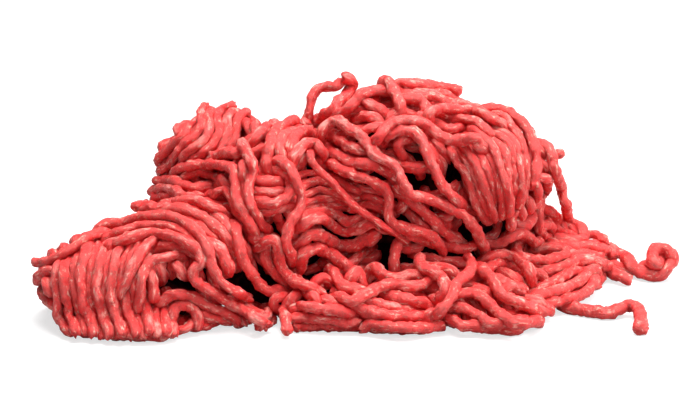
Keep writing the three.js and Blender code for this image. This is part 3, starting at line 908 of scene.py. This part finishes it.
def tucked(hoop, run):
    """The points of a run with its ends carried on along the hoop, each a step deeper."""
    steps = np.arange(1, TIP_POINTS + 1)
    before = (run[0] - steps[::-1]) % len(hoop)
    after = (run[-1] + steps) % len(hoop)
    points = hoop[np.r_[before, run, after]].copy()
    depth = np.r_[steps[::-1], np.zeros(len(run)), steps] * TIP_DROP
    points -= outward(points) * depth[:, None]
    points[:, 2] = np.maximum(points[:, 2], REST_HEIGHT)
    far = np.flatnonzero(np.linalg.norm(np.diff(points, axis=0), axis=1) > TIP_REACH)
    first = max((k + 1 for k in far if k < TIP_POINTS), default=0)
    last = min((k + 1 for k in far if k >= len(points) - 1 - TIP_POINTS), default=len(points))
    return points[first:last]


laid = np.concatenate([evenly(route, STRAND / 2) for _, route, _, _ in strands])


def is_clear(points, others, distance):
    """Whether each point is further than the distance from all the others, a block at a time."""
    blocks = np.array_split(points, max(1, len(points) // BLOCK))
    nearest = [((block[:, None] - others) ** 2).sum(axis=2).min(axis=1) for block in blocks]
    return np.concatenate(nearest) > distance**2


for name, axis in WINDING.items():
    axis = np.array(axis, float)
    across = np.cross(axis, ASKEW)
    turned = np.cos(UNDER_TURN) * axis / np.linalg.norm(axis)
    turned += np.sin(UNDER_TURN) * across / np.linalg.norm(across)
    for piece, way, lift in (("under", turned, UNDER_LIFT), ("outer", axis, OUTER_LIFT)):
        hoops, own = wound(name, way, lift)
        in_gap = ellipsoid_gaps(hoops.reshape(-1, 3), GAP_TABLE).min(axis=1) < GAP_CLEAR
        own &= ~in_gap.reshape(own.shape)
        if piece == "outer":
            own &= is_clear(hoops.reshape(-1, 3), laid, CLEAR).reshape(own.shape)
        for hoop, kept in zip(hoops, own):
            for run in runs_of(kept):
                if len(run) >= SHORTEST:
                    width = STRAND * rng.uniform(*HOOP_WIDTH)
                    strands.append((piece, tucked(hoop, run), lift, width))


# How the strands settle
# Fresh mince is soft and heavy: the strands sink until they touch, lie over each other where
# they cross, and keep their own length.

SPACING = 2.1  # between the points that a strand is followed by
SETTLING_STEPS = 90
SQUASHED = 0.93  # of the strands' width, between the middles of two that touch
PUSH = 0.35  # share of an overlap that is taken up in one step
CROSSING = 1.4  # how much crossing strands part outwards rather than sideways
STIFFNESS = 0.12  # share of a bend that wasn't laid which is taken out in one step
PULL_SEEN, PULL_HIDDEN = 0.07, 0.03  # back to where the strand was laid
GIVE_SEEN, GIVE_HIDDEN = 0.4, 1.0  # how readily a strand is pushed aside
RISE = 0.7  # by which a strand under or behind may end up further out than it was laid
SINK = 0.015  # under its own weight, in one step
CORE_LIFT = 1.0  # the least height of a strand's middle above the lumps
NEIGHBOURS = 6  # points along a strand that don't push each other
PAIRS_KEPT = 6  # steps for which the pairs that lie close are kept
PAIR_MARGIN = 1.5  # beyond touching, within which a pair counts as close
OWN_RANK = 0.4  # to each side, by which a strand's place over or under the others is its own
SUNK = 0.3  # a point laid nearer to the lumps than this is in the dark and isn't pushed
LENGTH_PASSES = 2  # in each step, to give the strands their length back
LENGTH_SHARE = 1.6  # of the way back to it that a point takes in a pass
WAVES = {9.0: 0.8, 4.5: 0.5}  # of each strand's own waviness: length and reach
WAVY_SEEN = 0.6  # share of it in the strands that show, which are kinked already
NOISE_SPAN = 900  # over which the strands take places of their own in the noise
NOISE_APART = 7.7  # between the noise that waves a strand along one axis and along the next


def close_pairs(points, reach):
    """Pairs of points nearer than reach. The points are sorted by cubes of that size, and each is
    compared with its own cube and half of those around, so that no pair comes twice."""
    cells = np.floor(points / reach).astype(np.int64)
    cells -= cells.min(axis=0) - 1
    size = cells.max(axis=0) + 2
    key = (cells[:, 0] * size[1] + cells[:, 1]) * size[2] + cells[:, 2]
    order = np.argsort(key, kind="stable")
    key = key[order]
    place = np.arange(len(points))
    found = []
    for step in itertools.product((-1, 0, 1), repeat=3):
        if step < (0, 0, 0):
            continue
        there = key + (step[0] * size[1] + step[1]) * size[2] + step[2]
        first = place + 1 if step == (0, 0, 0) else np.searchsorted(key, there, "left")
        last = np.searchsorted(key, there, "right")
        count = last - first
        i = np.repeat(place, count)
        j = np.arange(count.sum()) - np.repeat(np.cumsum(count) - count, count) + np.repeat(first, count)
        found.append((order[i], order[j]))
    i, j = (np.concatenate(side) for side in zip(*found))
    near = np.linalg.norm(points[i] - points[j], axis=1) < reach
    return i[near], j[near]


def summed(places, values, total):
    """The sum of the values that belong to each place."""
    return np.stack([np.bincount(places, values[:, k], total) for k in range(3)], axis=1)


routes = [evenly(route, SPACING) for _, route, _, _ in strands]
counts = np.array([len(route) for route in routes])
owner = np.repeat(np.arange(len(routes)), counts)
points = np.concatenate(routes)
along = np.concatenate([SPACING * np.arange(n) for n in counts])
rank = np.array([lift for _, _, lift, _ in strands]) + rng.uniform(-OWN_RANK, OWN_RANK, len(strands))
rank = rank[owner]
half_width = np.array([width for *_, width in strands])[owner] / 2
own_place = rng.uniform(0, NOISE_SPAN, (len(strands), 3))[owner]
seen = np.array([piece not in ("under", "outer") for piece, *_ in strands])[owner]
for length, reach in WAVES.items():
    points += reach * np.where(seen, WAVY_SEEN, 1.0)[:, None] * np.stack([
        noise(own_place + np.stack([along / length, 0 * along, NOISE_APART * k + 0 * along], axis=1))
        for k in range(3)
    ], axis=1)
points[:, 2] = np.maximum(points[:, 2], REST_HEIGHT)
home = points.copy()
home_gap = heap_gap(home)
hidden = home_gap < SUNK
least_gap = np.minimum(CORE_LIFT, home_gap)
most_gap = np.where(seen, np.inf, home_gap + RISE)
pull = np.where(seen, PULL_SEEN, PULL_HIDDEN)[:, None]
give = np.where(seen, GIVE_SEEN, GIVE_HIDDEN)
joined_on = owner[1:] == owner[:-1]
link = np.flatnonzero(joined_on)
link_length = np.linalg.norm(points[link + 1] - points[link], axis=1)
bend = link[:-1][np.diff(link) == 1] + 1
bend_home = (points[bend - 1] + points[bend + 1]) / 2 - points[bend]
link_share = np.bincount(np.r_[link, link + 1], minlength=len(points))

for step in range(SETTLING_STEPS):
    if step % PAIRS_KEPT == 0:
        near_i, near_j = close_pairs(points, SQUASHED * STRAND + PAIR_MARGIN)
        apart = (owner[near_i] != owner[near_j]) | (np.abs(near_i - near_j) > NEIGHBOURS)
        apart &= ~(hidden[near_i] | hidden[near_j])
        near_i, near_j = near_i[apart], near_j[apart]
        give_i = 2 * give[near_i] / (give[near_i] + give[near_j])
        normals = outward(points)
        gap = heap_gap(points)
        points += np.maximum(least_gap - gap, 0)[:, None] * normals
        points -= np.maximum(gap - most_gap, 0)[:, None] * normals
    tangents = np.zeros_like(points)
    tangents[link] = points[link + 1] - points[link]
    tangents[link + 1] += tangents[link]
    tangents /= np.maximum(np.linalg.norm(tangents, axis=1, keepdims=True), TINY)
    between = points[near_i] - points[near_j]
    crossing = np.linalg.norm(np.cross(tangents[near_i], tangents[near_j]), axis=1)
    above = np.sign(rank[near_i] - rank[near_j]) * crossing * CROSSING
    distance = np.linalg.norm(between, axis=1)
    contact = SQUASHED * (half_width[near_i] + half_width[near_j])
    overlap = np.maximum(contact - distance, 0)
    way = between / np.maximum(distance, TINY)[:, None]
    way += above[:, None] * (normals[near_i] + normals[near_j]) / 2
    way /= np.maximum(np.linalg.norm(way, axis=1, keepdims=True), TINY)
    shove = PUSH * overlap[:, None] * way
    points += summed(near_i, give_i[:, None] * shove, len(points))
    points -= summed(near_j, (2 - give_i)[:, None] * shove, len(points))
    points += pull * (home - points)
    points[:, 2] -= SINK
    points[bend] += STIFFNESS * ((points[bend - 1] + points[bend + 1]) / 2 - points[bend] - bend_home)
    for _ in range(LENGTH_PASSES):
        stretch = points[link + 1] - points[link]
        length = np.linalg.norm(stretch, axis=1)
        fix = stretch * (0.5 * (1 - link_length / np.maximum(length, TINY)))[:, None]
        shift = summed(link, fix, len(points)) - summed(link + 1, fix, len(points))
        points += shift / np.maximum(link_share, 1)[:, None] * LENGTH_SHARE
    points[:, 2] = np.maximum(points[:, 2], REST_HEIGHT)

settled = np.split(points, np.cumsum(counts)[:-1])


# The strands' skin and flesh
# A strand is chopped muscle and fat pressed through a round hole: its surface is moist and
# uneven, it is thicker and thinner along its length, and its ends are torn.

DETAIL = {"under": (8, 1.2), "outer": (12, 1.0)}  # sides round a strand, and between its rings
USUAL_DETAIL = (14, 0.8)
END_RINGS = np.array([0.15, 0.7])  # of the first rings from a strand's tip
END_LENGTH = 1.4  # over which it comes to full width
TORN = 1.4  # by which the torn face of an end is uneven
TORN_LENGTH = 4.0  # over which that fades
TORN_WIDTH = 1.5  # of the shreds that it is torn into
SWELL = {7.0: 0.11, 3.0: 0.07}  # along the strand: width of a swelling, and its share of the radius
RELIEF = {2.6: 0.22, 1.3: 0.2, 0.8: 0.08}  # all over it
FIRST_SIDE = [0.31, 0.52, 0.79]  # a direction that no strand sets out in
FINE_STEPS = 4  # from one point of a settled strand to the next, before its rings are placed
MOST_TRIANGLES = 190000  # in a piece, beyond which its strands are shared out over several


def strand_tubes(centre_lines, widths, sides, ring_step):
    """Tubes along centre lines. A ring's points are the centre plus the radius times the cosine
    and sine of their turn, along two directions square to the line, which are carried from
    ring to ring without twisting. The radius swells and shrinks by noise, and closes at the ends
    as a dome: the cube root of 1 - (1 - s)^3, where s goes from 0 at the tip to 1."""
    lines = []
    for line in centre_lines:
        length = np.r_[0, np.cumsum(np.linalg.norm(np.diff(line, axis=0), axis=1))]
        inner_count = max(2, round(length[-1] / ring_step) - 2)
        inner = np.linspace(END_LENGTH, length[-1] - END_LENGTH, inner_count)
        at = np.r_[0, END_RINGS, inner, length[-1] - END_RINGS[::-1], length[-1]]
        fine = evenly(line, SPACING / FINE_STEPS)
        fine_at = np.linspace(0, length[-1], len(fine))
        place = np.stack([np.interp(at, fine_at, fine[:, k]) for k in range(3)], axis=1)
        lines.append((at, place))
    most = max(len(at) for at, _ in lines)
    centres = np.zeros((len(lines), most, 3))
    for row, (at, place) in enumerate(lines):
        centres[row, : len(at)] = place
        spare = np.arange(1, most - len(at) + 1)[:, None]
        centres[row, len(at):] = place[-1] + spare * (place[-1] - place[-2])
    tangents = np.gradient(centres, axis=1)
    tangents /= np.maximum(np.linalg.norm(tangents, axis=2, keepdims=True), TINY)
    side = np.cross(tangents[:, 0], FIRST_SIDE)
    sides_way = np.zeros_like(centres)
    for k in range(most):
        side = side - tangents[:, k] * (side * tangents[:, k]).sum(axis=1, keepdims=True)
        side /= np.maximum(np.linalg.norm(side, axis=1, keepdims=True), TINY)
        sides_way[:, k] = side
    rings, tips, places, tip_places, ring_counts = [], [[], []], [], [[], []], []
    turn = 2 * np.pi * np.arange(sides) / sides
    for row, (at, place) in enumerate(lines):
        inner = slice(1, len(at) - 1)
        u = sides_way[row, inner, None]
        v = np.cross(tangents[row, inner], sides_way[row, inner])[:, None]
        s = at[inner]
        own = rng.uniform(0, NOISE_SPAN, 3)
        unit = np.stack(np.broadcast_arrays(
            np.cos(turn) * STRAND / 2, np.sin(turn) * STRAND / 2, s[:, None]
        ), axis=2)
        flat = unit.reshape(-1, 3)
        swelling = sum(
            share * noise(own + np.stack([0 * flat[:, 0], 0 * flat[:, 0], flat[:, 2] / width], axis=1))
            for width, share in SWELL.items()
        )
        bumps = sum(share * noise(own + flat / width) for width, share in RELIEF.items())
        end = np.minimum(flat[:, 2], at[-1] - flat[:, 2])
        dome = (1 - (1 - np.clip(end / END_LENGTH, 0, 1)) ** 3) ** (1 / 3)
        radius = (widths[row] / 2 * dome * (1 + swelling + bumps)).reshape(len(s), sides, 1)
        around = np.cos(turn)[None, :, None] * u + np.sin(turn)[None, :, None] * v
        ragged = TORN * noise(own + flat / TORN_WIDTH) * np.clip(1 - end / TORN_LENGTH, 0, 1)
        ragged = ragged.reshape(len(s), sides, 1) * tangents[row, inner, None]
        rings.append(place[inner, None] + radius * around + ragged)
        places.append(own + unit)
        for k, tip in enumerate((0, -1)):
            tips[k].append(place[tip])
            tip_places[k].append(own + [0, 0, at[tip]])
        ring_counts.append(len(s))
    rings = np.concatenate(rings)
    quads, triangles = closed_tubes(rings, np.array(ring_counts))
    surface = np.concatenate([rings.reshape(-1, 3), *tips])
    surface[:, 2] = np.maximum(surface[:, 2], 0)
    in_strand = np.concatenate([np.concatenate(places).reshape(-1, 3), *tip_places])
    return surface, quads, triangles, in_strand


# Raw beef: muscle is a saturated red in grains of 3 mm, and the plate has smeared pale fat over
# it in streaks 2 mm wide, more on some strands than on others. Specks and flecks are about 1 mm.
# Its moist surface gives broad soft highlights.
raw_beef = bpy.data.materials.new("raw_beef")
raw_beef.use_nodes = True
tree = raw_beef.node_tree
in_strand = add_node(tree, "ShaderNodeAttribute", attribute_name="in_strand").outputs["Vector"]


def mottling(cells, along, detail, levels, shares=(0.0, 1.0)):
    """How much of a colour shows: noise with so many cells to a millimetre across the strand, and
    along times as many along it. From one of its levels to the other the share rises from the
    first of the shares to the second."""
    drawn = add_node(tree, "ShaderNodeMapping", {"Vector": in_strand}, Scale=(1.0, 1.0, along))
    grains = add_node(
        tree, "ShaderNodeTexNoise", {"Vector": drawn.outputs["Vector"]},
        Scale=cells, Detail=detail, Roughness=0.62,
    )
    ends = {
        "From Min": levels[0], "From Max": levels[1], "To Min": shares[0], "To Max": shares[1]
    }
    return add_node(tree, "ShaderNodeMapRange", {"Value": grains.outputs["Fac"]}, **ends)


# A Mix node's sockets for colours, which share their names with those for other values
UNDER_COLOUR, OVER_COLOUR, MIXED_COLOUR = 6, 7, 2


def painted(under, colour, *shares):
    """A colour laid over the one under it, by the product of shares."""
    share = shares[0].outputs["Result"]
    for other in shares[1:]:
        both = add_node(tree, "ShaderNodeMath", operation="MULTIPLY")
        tree.links.new(share, both.inputs[0])
        tree.links.new(other.outputs["Result"], both.inputs[1])
        share = both.outputs["Value"]
    mixed = add_node(tree, "ShaderNodeMix", {"Factor": share}, data_type="RGBA")
    if isinstance(under, str):
        mixed.inputs[UNDER_COLOUR].default_value = linear(under)
    else:
        tree.links.new(under.outputs[MIXED_COLOUR], mixed.inputs[UNDER_COLOUR])
    mixed.inputs[OVER_COLOUR].default_value = linear(colour)
    return mixed


marbling = mottling(cells=0.015, along=0.01, detail=0.0, levels=(0.35, 0.6))
grains = mottling(cells=0.35, along=1.0, detail=3.0, levels=(0.35, 0.65))
fat = mottling(cells=0.02, along=0.02, detail=0.0, levels=(0.45, 0.7), shares=(0.0, 0.4))
smears = mottling(cells=0.45, along=0.4, detail=5.0, levels=(0.52, 0.7), shares=(0.0, 0.7))
specks = mottling(cells=1.2, along=1.0, detail=2.0, levels=(0.54, 0.68), shares=(0.0, 0.5))
flecks = mottling(cells=0.8, along=0.5, detail=3.0, levels=(0.58, 0.7), shares=(0.0, 0.65))
roughness = mottling(cells=0.8, along=1.0, detail=3.0, levels=(0.3, 0.7), shares=(0.3, 0.5))
muscle = painted("#CE000C", "#F00416", grains)
fatty = painted(muscle, "#DC3030", fat)
smeared = painted(fatty, "#FFB8AC", smears, marbling)
specked = painted(smeared, "#8C000C", specks)
flecked = painted(specked, "#FAD6C2", flecks)
fibres = add_node(
    tree, "ShaderNodeTexNoise", {"Vector": in_strand}, Scale=1.5, Detail=5.0, Roughness=0.7
)
relief = add_node(
    tree, "ShaderNodeBump", {"Height": fibres.outputs["Fac"]}, Strength=1.0, Distance=0.9 * MM
)
beef = tree.nodes["Principled BSDF"]
tree.links.new(flecked.outputs[MIXED_COLOUR], beef.inputs["Base Color"])
tree.links.new(roughness.outputs["Result"], beef.inputs["Roughness"])
tree.links.new(relief.outputs["Normal"], beef.inputs["Normal"])
# The film of juice shines more, and pinker, than the index of water gives: matched to the picture
beef.inputs["IOR"].default_value = 2.2
beef.inputs["Specular Tint"].default_value = linear("#FFCCC2")
beef.inputs["Subsurface Weight"].default_value = 0.4
beef.inputs["Subsurface Radius"].default_value = (1.0, 0.2, 0.12)
beef.inputs["Subsurface Scale"].default_value = 1.6 * MM

by_piece = {}
for (piece, _, _, width), line in zip(strands, settled):
    by_piece.setdefault(piece, []).append((line, width))

for piece, lines in by_piece.items():
    sides, ring_step = DETAIL.get(piece, USUAL_DETAIL)
    total = 2 * sides * sum(SPACING * len(line) for line, _ in lines) / ring_step
    parts = int(np.ceil(total / MOST_TRIANGLES))
    lines.sort(key=lambda pair: pair[0][:, 0].mean())
    for part in range(parts):
        share = lines[len(lines) * part // parts : len(lines) * (part + 1) // parts]
        name = f"{piece}_strands" if parts == 1 else f"{piece}_strands_{part + 1}"
        surface, quads, triangles, place = strand_tubes(*zip(*share), sides, ring_step)
        skein = mesh_object(name, surface, quads, triangles)
        attribute = skein.data.attributes.new("in_strand", "FLOAT_VECTOR", "POINT")
        attribute.data.foreach_set("vector", place.astype(np.float32).ravel())
        skein.data.materials.append(raw_beef)
        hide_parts("mince_heap")
        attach(skein, "root")


# The studio
# A pale floor under soft white light from above, and the camera that the picture's lines of
# sight come from. The floor is darker in what it casts back on the heap than it looks.

FLOOR_SIZE = 6.0  # metres, as all of the studio's sizes and places
FLOOR_DROP = 0.0002  # below the heap's base, so that the two don't share a plane
LAMP_AIM = Vector((0, 0, 0.03))

# Each lamp's place, width and power in watts
LAMPS = {
    "overhead": ((0.1, 0.1, 0.9), 0.7, 22.5),
    "front": ((0.3, -1.1, 0.7), 1.0, 6.2),
    "right": ((0.8, -0.1, 0.4), 0.5, 6.2),
}

floor_mesh = bpy.data.meshes.new("floor")
edge = FLOOR_SIZE / 2
floor_mesh.from_pydata(
    [(-edge, -edge, 0), (edge, -edge, 0), (edge, edge, 0), (-edge, edge, 0)], [], [(0, 1, 2, 3)]
)
floor = bpy.data.objects.new("floor", floor_mesh)
floor.location.z = -FLOOR_DROP
bpy.context.scene.collection.objects.link(floor)
pale = bpy.data.materials.new("pale_board")
pale.use_nodes = True
seen_directly = add_node(pale.node_tree, "ShaderNodeLightPath").outputs["Is Camera Ray"]
board = pale.node_tree.nodes["Principled BSDF"]
board.inputs["Base Color"].default_value = linear("#A0A0A0")
board.inputs["Roughness"].default_value = 0.9
board.inputs["Emission Color"].default_value = linear("#D8D8D8")
pale.node_tree.links.new(seen_directly, board.inputs["Emission Strength"])
floor_mesh.materials.append(pale)

world = bpy.data.worlds.new("studio")
world.use_nodes = True
world.node_tree.nodes["Background"].inputs["Color"].default_value = (1, 1, 1, 1)
world.node_tree.nodes["Background"].inputs["Strength"].default_value = 0.09
bpy.context.scene.world = world

for name, (place, width, power) in LAMPS.items():
    lamp = bpy.data.lights.new(name, "AREA")
    lamp.size = width
    lamp.energy = power
    soft_box = bpy.data.objects.new(name, lamp)
    soft_box.location = place
    soft_box.rotation_euler = (LAMP_AIM - Vector(place)).to_track_quat("-Z", "Y").to_euler()
    bpy.context.scene.collection.objects.link(soft_box)

camera = bpy.data.cameras.new("camera")
camera.sensor_width = 36.0
camera.lens = camera.sensor_width / (2 * PICTURE_CENTRE[0]) * PICTURE_DISTANCE / PIXEL
camera.clip_start, camera.clip_end = 0.01, 20.0
viewpoint = bpy.data.objects.new("camera", camera)
viewpoint.location = Vector((EYE - HEAP_MIDDLE) * MM)
viewpoint.rotation_euler = Vector(-BACK).to_track_quat("-Z", "Y").to_euler()
bpy.context.scene.collection.objects.link(viewpoint)
bpy.context.scene.camera = viewpoint
bpy.context.scene.view_settings.view_transform = "Standard"
